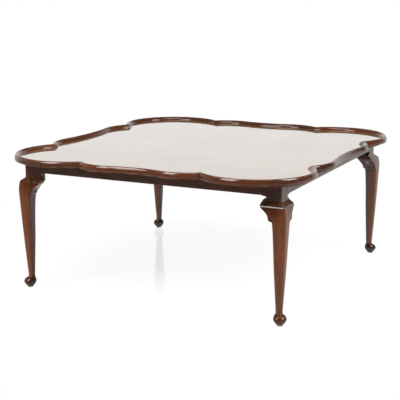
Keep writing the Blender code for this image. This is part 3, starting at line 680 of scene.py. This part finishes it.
def field_shape(top):
    """The panel inside the rim, its edge tucked under the rim's cove."""
    outline = []
    for run, planes, move in Scallops(top).segments().values():
        line, _ = set_in(run, top.rim_width - top.cove / 5, planes, steps=120)
        turn = np.array(move)[:2, :2]
        line = line @ turn.T
        outline.append(line if np.linalg.det(turn) > 0 else line[::-1])
    rim = np.concatenate(outline)
    high = top.height - top.dish
    levels = (high, high - top.panel)
    grid = np.stack([np.column_stack([rim, np.full(len(rim), level)]) for level in levels], axis=1)
    return tube(grid, grid.copy())


def levels_of(top, sizes):
    """Heights of the panel's underside and of the apron's lower edge."""
    under = top.height - top.dish - top.panel - sizes.gap
    return under, under - sizes.apron_height


def apron_shape(top, sizes):
    """The front apron, its lower edges eased."""
    high, low = levels_of(top, sizes)
    half = sizes.width / 2
    arris = sizes.apron_arris
    outer = arc((-half + arris, low + arris), arris, -math.pi, -QUARTER, steps=5)[0]
    inner = arc((-half + sizes.apron_thickness - arris, low + arris), arris, -QUARTER, 0.0, steps=5)[0]
    loop = np.vstack([(-half, high), outer, inner, (-half + sizes.apron_thickness, high)])
    end = half - sizes.post - sizes.gap
    places = np.linspace(-end, end, 9)
    grid = np.stack([np.column_stack([np.full(len(loop), x), loop]) for x in places], axis=1)
    wear = 0.3 * near(np.abs(grid[..., 2] - low), width=0.003)
    # Painted shade over the whole apron.
    return tube(grid, grid.copy(), wear, FRAME_PAINTED_SHADE)


def ledge_wear_and_highlight(sizes, above):
    """The rubbed line along the ledge's bevel, partly a painted highlight, from the height above the ledge.
    """
    return 0.8 * near(above - sizes.ledge_edge / 2, width=0.0022)


def bend(start, pull, end, steps):
    """Points on a curve from one point to another, drawn towards a third."""
    share = np.linspace(0, 1, steps + 1)[:, None]
    return start * (1 - share) ** 2 + pull * 2 * share * (1 - share) + end * share**2


def eased(stations, spacing):
    """Sections on a smooth curve through the given ones."""
    stations = np.array(stations, float)
    heights = stations[:, 0]
    before = np.maximum(np.arange(len(stations)) - 1, 0)
    after = np.minimum(np.arange(len(stations)) + 1, len(stations) - 1)
    slope = (stations[after] - stations[before]) / (heights[after] - heights[before])[:, None]
    made = [stations[:1]]
    for index in range(len(stations) - 1):
        span = heights[index + 1] - heights[index]
        share = np.linspace(0, 1, max(2, math.ceil(abs(span) / spacing)) + 1)[1:, None]
        rise = share**2 * (3 - 2 * share)
        lead = (share**3 - 2 * share**2 + share) * slope[index] + (share**3 - share**2) * slope[index + 1]
        made.append(stations[index] + (stations[index + 1] - stations[index]) * rise + lead * span)
    return np.concatenate(made)


def eased_corner(before, corner, after, size):
    """Points round a corner between two straight edges."""
    start = corner + (before - corner) * size / np.linalg.norm(before - corner)
    end = corner + (after - corner) * size / np.linalg.norm(after - corner)
    return bend(start, corner, end, steps=4)


def knee_stations(top, sizes):
    """Leg sections to the ankle: height, reach outwards and inwards, radius of front and other edges."""
    high, low = levels_of(top, sizes)
    ledge = low - sizes.ledge_drop
    arris = sizes.post_arris
    post_foot = np.array((low - sizes.post_drop, 0.0))
    upper = np.array((ledge + sizes.ledge_edge, sizes.ledge_reach - sizes.ledge_edge * BEVEL_RUN))
    lower = np.array((ledge, sizes.ledge_reach))
    face = np.array((ledge - LEDGE_FACE[0], sizes.ledge_reach + LEDGE_FACE[1]))
    top_edge = eased_corner(post_foot, upper, lower, size=0.0006)
    low_edge = eased_corner(upper, lower, face, size=0.0009)
    edge = np.vstack([top_edge, low_edge])
    above = [(high, 0.0, sizes.post, arris, arris), (post_foot[0], 0.0, sizes.post, arris, arris)]
    bevel = [(height, reach, sizes.post, BEVEL_ROUND, arris) for height, reach in edge]
    knee = [(low - drop, *section) for drop, *section in KNEE]
    radius = sizes.ankle_radius
    setback = sizes.ankle_setback
    ankle = (sizes.ankle_height, radius - setback, radius + setback, radius, radius)
    return np.concatenate([above, bevel[:-1], eased([bevel[-1], *knee, SHIN, ankle], spacing=0.0025)])


def foot_stations(sizes):
    """The turned pad foot: a dome below the ankle, then a taper to a small flat base."""
    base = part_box("leg_back_right")[0].z
    share = np.linspace(0, 1, 31)[1:]
    height = sizes.ankle_height + (sizes.foot_height - sizes.ankle_height) * share
    lift = np.clip((height - sizes.foot_height) / sizes.foot_rise, 0, 1)
    dome = sizes.foot_radius * np.sqrt(1 - lift**2)
    radius = (sizes.ankle_radius**DOME_POWER + dome**DOME_POWER) ** (1 / DOME_POWER)
    spread = (radius - sizes.ankle_radius) / (radius[-1] - sizes.ankle_radius)
    setback = sizes.ankle_setback + (sizes.foot_setback - sizes.ankle_setback) * spread
    swell = np.column_stack([height, radius - setback, radius + setback, radius, radius])
    radius = radius[-1] + (sizes.foot_base - radius[-1]) * share**TAPER_POWER
    height = sizes.foot_height + (base - sizes.foot_height) * share
    back = sizes.foot_setback
    return np.vstack([swell, np.column_stack([height, radius - back, radius + back, radius, radius])])


def leg_shape(top, sizes):
    """The back right leg with its post's outer corner on the Z axis."""
    stations = np.vstack([knee_stations(top, sizes), foot_stations(sizes)])
    height, reach, back, front_round, other_round = stations.T
    half = (reach + back) / 2
    middle = (reach - back) / 2
    corners = []
    for quarter, (x, y) in enumerate(((1, 1), (-1, 1), (-1, -1), (1, -1))):
        radius = front_round if quarter == 0 else other_round
        rows = []
        for angle in np.linspace(quarter, quarter + 1, 9) * QUARTER:
            across = middle + x * (half - radius) + radius * math.cos(angle)
            along = middle + y * (half - radius) + radius * math.sin(angle)
            rows.append(np.column_stack([across, along, height]))
        corners.append(rows)
    ring = []
    for rows, following in zip(corners, corners[1:] + corners[:1]):
        span = following[0] - rows[-1]
        ring += rows + [rows[-1] + span * share for share in (0.1, 0.5, 0.9)]
    grid = np.array(ring)
    low = levels_of(top, sizes)[1]
    ledge = low - sizes.ledge_drop
    ankle = sizes.ankle_height
    off_edge = np.hypot(grid[..., 0] - reach, grid[..., 1] - reach)
    # The ledge's bevel and the front edge higher up are rubbed paler, partly as a painted highlight.
    arris = near(off_edge, width=0.008) * (height > RUBBED_AND_HIGHLIGHT_FROM)
    wear = ledge_wear_and_highlight(sizes, height - ledge) + 0.4 * arris
    # Darker at the foot, and painted shade on the knee, ledge and post under the top; less painted shade on
    # the front edge below the ledge.
    places = (ankle - 0.008, ankle + 0.004, ledge - 0.050, ledge, ledge + sizes.ledge_edge, low)
    stain = np.interp(height, places, LEG_PAINTED_SHADE)
    stain = stain * (1 - 0.75 * near(off_edge, width=0.014) * (height < ledge))
    return tube(grid, grid[..., (2, 0, 1)], wear, stain)


def bracket_edge(sizes):
    """The bracket's outer edge from the apron down: distance from the post's corner and drop."""
    waist = np.array((sizes.post + 0.0016, 0.0068))
    tip = np.array((sizes.ear_reach, sizes.ear_tip))
    slope = np.array((0.0510, 0.0390))
    heel = np.array((0.0350, 0.0575))
    throat = arc((tip[0], waist[1]), (tip[0] - waist[0], 0.0054), -QUARTER, -math.pi, steps=16)[0]
    dome = arc((waist[0], tip[1]), tip - waist, -QUARTER, 0.0, steps=24)[0]
    under = bend(tip, pull=np.array((tip[0], 0.0318)), end=slope, steps=12)
    step = bend(slope, pull=np.array((0.0362, 0.0488)), end=heel, steps=14)
    lobe = arc((0.0220, 0.0620), (0.0124, 0.0085), 0.0, QUARTER, steps=14)[0]
    return np.vstack([(tip[0], sizes.gap), throat, dome[1:], under[1:], step[1:], lobe])


def bracket_shape(top, sizes):
    """The bracket beside the back right leg, under the back apron."""
    low = levels_of(top, sizes)[1]
    outline = bracket_edge(sizes)
    stations = knee_stations(top, sizes)
    drops = low - stations[:, 0]
    bevel = drops[(drops > outline[0, 1]) & (drops < outline[-1, 1])]
    drop = np.unique(np.concatenate([outline[:, 1], bevel]).round(6))
    edge = np.interp(drop, outline[:, 1], outline[:, 0])
    reach, back, rounding = (np.interp(drop, drops, stations[:, column]) for column in (1, 2, 4))
    front = reach - BRACKET_SETBACK
    root = back - rounding - FINE_EDGE
    soft = np.minimum(sizes.ear_edge, (edge - root) / 3)
    rear = np.full(len(drop), -sizes.ear_back)
    loop = [(root + (edge - soft - root) * share, front) for share in (0.0, 0.35, 0.7, 1.0)]
    for angle in np.linspace(QUARTER, 0.0, 9)[1:]:
        loop.append((edge - soft + soft * math.cos(angle), front - soft + soft * math.sin(angle)))
    loop += [(edge, (front + rear) / 2), (edge, rear + FINE_EDGE), (edge - FINE_EDGE, rear), (root, rear)]
    grid = np.array([np.column_stack([-along, depth, low - drop]) for along, depth in loop])
    rubbed = 0.5 * near(np.hypot(grid[..., 0] + edge, grid[..., 1] - front), width=0.004)
    # The ledge's paler line runs on along the bracket, partly a painted highlight.
    wear = ledge_wear_and_highlight(sizes, sizes.ledge_drop - drop) + rubbed
    # Painted shade over the whole bracket.
    return tube(grid, grid[..., (2, 0, 1)], wear, FRAME_PAINTED_SHADE)


def softened(node, edge):
    """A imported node's own form with its edges eased."""
    work = bmesh.new()
    work.from_mesh(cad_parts[node].data)
    bmesh.ops.remove_doubles(work, verts=work.verts, dist=1e-5)
    bmesh.ops.dissolve_limit(work, angle_limit=math.radians(2), verts=work.verts, edges=work.edges)
    sharp = [side for side in work.edges if side.calc_face_angle(0.0) > SHARP]
    bmesh.ops.bevel(
        work, geom=sharp, offset=edge, segments=3, profile=0.5, affect="EDGES", clamp_overlap=True
    )
    work.verts.index_update()
    points = np.array([tuple(corner.co) for corner in work.verts])
    faces = [tuple(corner.index for corner in face.verts) for face in work.faces]
    work.free()
    plain = np.zeros(len(points))
    return Shape(points, faces, points.copy(), plain, plain)


def turned(radius, height, steps, capped=True):
    """A shape about the Z axis from a row of radii, or one row for each step, and their heights."""
    angle = np.linspace(0, 2 * math.pi, steps, endpoint=False)[:, None]
    grid = np.stack(np.broadcast_arrays(radius * np.cos(angle), radius * np.sin(angle), height), axis=2)
    return tube(grid, grid.copy(), capped=capped)


def glide_shape(fittings, tall):
    """A round glide with its nail, standing on the floor."""
    radius = fittings.glide_radius
    high = fittings.glide_height
    edge = fittings.glide_round
    sole = arc((radius - edge, edge), edge, -QUARTER, 0.0, steps=8)[0]
    shoulder = arc((radius - FINE_EDGE, high - FINE_EDGE), FINE_EDGE, 0.0, QUARTER, steps=5)[0]
    nail = [(fittings.nail_radius, high), (fittings.nail_radius, tall - POINT), (TIP, tall)]
    return turned(*np.vstack([(0.0005, 0.0), sole, shoulder, nail]).T, steps=48)


def screw_shape(fittings, tall):
    """A screw with its round head down and a cross recess in it."""
    radius = fittings.head_radius
    flat = radius - FINE_EDGE
    face = np.linspace(TIP, flat, 18)
    face = np.column_stack([face, HEAD_DOME * (face / flat) ** 2])
    side = arc((flat, HEAD_DOME + FINE_EDGE), FINE_EDGE, -QUARTER, 0.0, steps=6)[0][1:]
    shank = fittings.shank_radius
    seat = fittings.head_height
    stem = [(radius, seat), (shank, seat), (shank, tall - POINT), (TIP, tall)]
    shape = turned(*np.vstack([face, side, stem]).T, steps=48)
    across, along, height = shape.points.T
    cross = np.maximum(near(across, CROSS_HALF), near(along, CROSS_HALF))
    cross *= np.clip((CROSS_REACH - np.hypot(across, along)) / CROSS_FADE, 0, 1) * (height < CROSS_TOP)
    shape.points[:, 2] += fittings.recess * cross
    return shape


def bolt_shape(fittings, tall):
    """A hanger bolt: plain lower half, machine thread on the upper."""
    radius = fittings.bolt_radius
    narrow = radius - BOLT_END[0]
    first, last = BOLT_END[1], tall - BOLT_END[1]
    plain = tall * PLAIN_SHARE
    turns = np.arange(plain, last, fittings.pitch / 5)
    thread = np.column_stack([np.full(len(turns), radius), turns])
    profile = np.vstack([(narrow, 0.0), (radius, first), thread, (radius, last), (narrow, tall)])
    shape = turned(*profile.T, steps=24)
    across, along, height = shape.points.T
    rise = height / fittings.pitch - np.arctan2(along, across) / (2 * math.pi)
    cut = fittings.thread_depth * (0.5 + 0.5 * np.cos(2 * math.pi * rise)) * (height > plain + THREAD_LEAD)
    shape.points[:, :2] *= (1 - cut / radius)[:, None]
    return shape


def nut_shape(fittings):
    """A six-sided nut with its corners turned off at both ends."""
    steps = 60
    half = fittings.nut_flats / 2
    sixth = math.pi / 3
    turn = np.linspace(0, 2 * math.pi, steps, endpoint=False)[:, None]
    flats = half / np.cos((turn + sixth / 2) % sixth - sixth / 2)
    bore = fittings.bolt_radius + NUT_PLAY
    limit = np.array((bore, bore + 0.0004, half - 0.0002, half + 0.0004, half + 0.0009))
    lift = np.array((0.0004, 0.0, 0.0, 0.0003, 0.0008))
    radius = np.minimum(flats, limit)
    radius = np.hstack([radius, radius[:, ::-1]])
    height = np.concatenate([lift, fittings.nut_thickness - lift[::-1]])
    return turned(radius, height, steps, capped=False)


def standing(node):
    """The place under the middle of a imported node, and the node's height."""
    low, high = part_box(node)
    middle = (low + high) / 2
    return Matrix.Translation((middle.x, middle.y, low.z)), high.z - low.z


def along_diagonal(node, overhang, turns, half):
    """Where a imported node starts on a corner's diagonal, pointing inwards, and the node's length."""
    low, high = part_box(node.replace(CORNERS[turns], CORNERS[0]))
    start = (half - high.x) * math.sqrt(2) + overhang
    end = (half - low.x) * math.sqrt(2) - overhang
    corner = quarter_turn(turns) @ Matrix.Translation((half, half, (low.z + high.z) / 2))
    inwards = Matrix.Rotation(QUARTER * 2.5, 4, "Z") @ Matrix.Rotation(QUARTER, 4, "Y")
    return corner @ inwards @ Matrix.Translation((0, 0, start)), end - start


class TABLE_OT_rim(bpy.types.Operator):
    """Make the eight mitred segments of the scalloped rim"""

    bl_idname = "coffee_table.rim"
    bl_label = "Rim"

    def execute(self, context):
        top = context.scene.table_top
        for node, (run, planes, move) in Scallops(top).segments().items():
            # Tone, and painted shade that is darker on the right and back segments.
            tone, stain = RIM_LOOKS[node]
            shape = rim_segment(top, run, planes, stain).placed(move)
            make_piece(node, shape, "rim_wood", tone)
        return {"FINISHED"}


class TABLE_OT_field(bpy.types.Operator):
    """Make the polished field inside the rim"""

    bl_idname = "coffee_table.field"
    bl_label = "Field"

    def execute(self, context):
        make_piece("field_panel", field_shape(context.scene.table_top), "field_veneer")
        return {"FINISHED"}


class TABLE_OT_aprons(bpy.types.Operator):
    """Make the four aprons"""

    bl_idname = "coffee_table.aprons"
    bl_label = "Aprons"

    def execute(self, context):
        scene = context.scene
        apron = apron_shape(scene.table_top, scene.table_frame)
        for turns, side in enumerate(SIDES):
            make_piece(f"apron_{side}", apron.placed(quarter_turn(turns)), "frame_wood", APRON_TONE)
        return {"FINISHED"}


class TABLE_OT_legs(bpy.types.Operator):
    """Make the four cabriole legs with their pad feet"""

    bl_idname = "coffee_table.legs"
    bl_label = "Legs"

    def execute(self, context):
        scene = context.scene
        leg = leg_shape(scene.table_top, scene.table_frame)
        half = scene.table_frame.width / 2
        for turns, corner in enumerate(CORNERS):
            shape = leg.placed(quarter_turn(turns) @ Matrix.Translation((half, half, 0)))
            make_piece(f"leg_{corner}", shape, "frame_wood", LEG_TONES[turns])
        return {"FINISHED"}


class TABLE_OT_brackets(bpy.types.Operator):
    """Make the eight scrolled knee brackets"""

    bl_idname = "coffee_table.brackets"
    bl_label = "Knee brackets"

    def execute(self, context):
        scene = context.scene
        bracket = bracket_shape(scene.table_top, scene.table_frame)
        half = scene.table_frame.width / 2
        for turns, corner in enumerate(CORNERS):
            place = quarter_turn(turns) @ Matrix.Translation((half, half, 0))
            sides = SIDES[turns - 2], SIDES[(turns + 1) % 4]
            for side, flip in zip(sides, (Matrix.Identity(4), ACROSS_DIAGONAL)):
                node = f"knee_bracket_{corner}_{side}"
                make_piece(node, bracket.placed(place @ flip), "frame_wood", BRACKET_TONE)
        return {"FINISHED"}


class TABLE_OT_braces(bpy.types.Operator):
    """Make the corner braces with their hanger bolts and nuts"""

    bl_idname = "coffee_table.braces"
    bl_label = "Corner braces and bolts"

    def execute(self, context):
        scene = context.scene
        fittings = scene.table_fittings
        half = scene.table_frame.width / 2
        for turns, corner in enumerate(CORNERS):
            brace = f"corner_brace_{corner}"
            make_piece(brace, softened(brace, fittings.block_edge), "plain_wood")
            bolt = f"hanger_bolt_{corner}"
            place, tall = along_diagonal(bolt, fittings.bolt_radius - BOLT_END[0], turns, half)
            make_piece(bolt, bolt_shape(fittings, tall).placed(place), "plated_steel")
            nut = f"bolt_nut_{corner}"
            place, _ = along_diagonal(nut, fittings.nut_flats / math.sqrt(3), turns, half)
            make_piece(nut, nut_shape(fittings).placed(place), "plated_steel")
        return {"FINISHED"}


class TABLE_OT_buttons(bpy.types.Operator):
    """Make the table buttons with their screws"""

    bl_idname = "coffee_table.buttons"
    bl_label = "Table buttons and screws"

    def execute(self, context):
        fittings = context.scene.table_fittings
        for place in (f"{side}_{end}" for side in SIDES for end in (1, 2)):
            button = f"table_button_{place}"
            make_piece(button, softened(button, fittings.block_edge), "plain_wood")
            screw = f"button_screw_{place}"
            under, tall = standing(screw)
            make_piece(screw, screw_shape(fittings, tall).placed(under), "plated_steel")
        return {"FINISHED"}


class TABLE_OT_glides(bpy.types.Operator):
    """Make the glides under the feet"""

    bl_idname = "coffee_table.glides"
    bl_label = "Glides"

    def execute(self, context):
        for corner in CORNERS:
            under, tall = standing(f"glide_{corner}")
            shape = glide_shape(context.scene.table_fittings, tall).placed(under)
            make_piece(f"glide_{corner}", shape, "plated_steel")
        return {"FINISHED"}


class Rays:
    """Which rays see the floor or the room."""

    def __init__(self, nodes):
        kinds = ("Camera", "Glossy", "Transmission")
        rays = [nodes.add("ShaderNodeLightPath", {}, {}, f"Is {kind} Ray") for kind in kinds]
        self.camera, self.glossy, clear = rays
        self.direct = self.camera.most(clear)


def floor_material(stage):
    """A pale floor that looks white, with a faint shadow and reflection under the table."""
    material, nodes, shader = new_material("studio_floor")
    tree = material.node_tree
    tree.nodes.remove(shader)
    rays = Rays(nodes)
    place = nodes.place()
    back = nodes.axis(place, "Y").step(-1.6, 0.9)
    shade = (1.0 - nodes.distance(place, SHADE_MIDDLE).step(0.25, 1.20)) * stage.shade
    shine = (1.0 - nodes.distance(place, SHINE_MIDDLE).step(0.15, 0.62)) * rays.camera * stage.shine
    front_level = 2.5 * stage.surround
    mirrored = back * (0.8 - front_level) + front_level
    glow = rays.direct + (1.0 - rays.direct) * mirrored
    paper = nodes.add("ShaderNodeBsdfDiffuse", {}, {"Color": opaque(stage.floor)})
    white = nodes.add("ShaderNodeEmission", {}, {"Color": glow + shade * 1.05})
    gloss = nodes.add("ShaderNodeBsdfAnisotropic", {}, {"Color": SHINE_TINT, "Roughness": 0.10})
    lit = nodes.mixed(shine, nodes.mixed(shade, white, paper), gloss)
    look = nodes.mixed(rays.direct.most(rays.glossy), paper, lit)
    tree.links.new(look.socket, tree.nodes["Material Output"].inputs["Surface"])
    return material


def light_world(stage):
    """White low down at the back as the polish sees it, dim elsewhere, and a weak even light."""
    world = bpy.data.worlds.new("studio")
    world.use_nodes = True
    bpy.context.scene.world = world
    nodes = Nodes(world.node_tree)
    rays = Rays(nodes)
    way = nodes.place("Generated")
    back = nodes.axis(way, "Y").step(-0.75, 0.35)
    above = nodes.axis(way, "Z").step(0.26, 0.50)
    right = nodes.axis(way, "X").step(0.34, 0.55)
    mirrored = back * (1.0 - above.most(right)) * (1.0 - stage.surround) + stage.surround
    seen = rays.direct + (1.0 - rays.direct) * mirrored
    shown = rays.direct.most(rays.glossy)
    level = shown * seen + (1.0 - shown) * stage.ambient
    nodes.feed(world.node_tree.nodes["Background"], {"Color": level})


def softbox(name, power, size, place, aim):
    """A lamp hung at a place and pointed at another."""
    lamp = bpy.data.lights.new(name, "AREA")
    lamp.shape = "RECTANGLE"
    lamp.size, lamp.size_y = size
    lamp.energy = power
    made = add_object(name, lamp)
    made.location = place
    made.rotation_euler = (Vector(place) - Vector(aim)).to_track_quat("Z", "Y").to_euler()


class TABLE_OT_stage(bpy.types.Operator):
    """Lay the pale floor, hang the softboxes and set up the camera"""

    bl_idname = "coffee_table.stage"
    bl_label = "Stage"

    def execute(self, context):
        scene = context.scene
        stage = scene.table_stage
        mesh = bpy.data.meshes.new("floor")
        ways = ((-1, -1), (1, -1), (1, 1), (-1, 1))
        corners = [(x * FLOOR_HALF, y * FLOOR_HALF, 0) for x, y in ways]
        mesh.from_pydata(corners, [], [(0, 1, 2, 3)])
        mesh.materials.append(floor_material(stage))
        floor = add_object("floor", mesh)
        light_world(stage)
        for name, power, size, place, aim in LAMPS:
            softbox(name, getattr(stage, power), size, place, aim)
        camera = bpy.data.cameras.new("camera")
        camera.lens = CAMERA_LENS
        made = add_object("camera", camera)
        heading, tilt, roll = (Matrix.Rotation(math.radians(turn), 4, axis) for turn, axis in CAMERA_TURNS)
        made.matrix_world = Matrix.Translation(CAMERA_PLACE) @ heading @ tilt @ roll
        scene.camera = made
        scene.view_settings.view_transform = "Standard"
        return {"FINISHED"}


OPERATORS = (
    TABLE_OT_rim,
    TABLE_OT_field,
    TABLE_OT_aprons,
    TABLE_OT_legs,
    TABLE_OT_brackets,
    TABLE_OT_braces,
    TABLE_OT_buttons,
    TABLE_OT_glides,
    TABLE_OT_stage,
)


class TABLE_PT_panel(bpy.types.Panel):
    """Buttons for the table's pieces"""

    bl_idname = "TABLE_PT_panel"
    bl_label = "Coffee table"
    bl_space_type = "VIEW_3D"
    bl_region_type = "UI"
    bl_category = "Table"

    def draw(self, context):
        for operator in OPERATORS:
            self.layout.operator(operator.bl_idname)


GROUPS = {
    "table_top": TopSizes,
    "table_frame": FrameSizes,
    "table_fittings": FittingSizes,
    "table_colours": FinishColours,
    "table_stage": StageSettings,
}
CLASSES = (*GROUPS.values(), *OPERATORS, TABLE_PT_panel)


def register():
    for kind in CLASSES:
        bpy.utils.register_class(kind)
    for name, kind in GROUPS.items():
        setattr(bpy.types.Scene, name, PointerProperty(type=kind))


def unregister():
    for name in GROUPS:
        delattr(bpy.types.Scene, name)
    for kind in reversed(CLASSES):
        bpy.utils.unregister_class(kind)


def main():
    register()
    bpy.ops.coffee_table.rim()
    bpy.ops.coffee_table.field()
    bpy.ops.coffee_table.aprons()
    bpy.ops.coffee_table.legs()
    bpy.ops.coffee_table.brackets()
    bpy.ops.coffee_table.braces()
    bpy.ops.coffee_table.buttons()
    bpy.ops.coffee_table.glides()
    bpy.ops.coffee_table.stage()


if __name__ == "__main__":
    main()
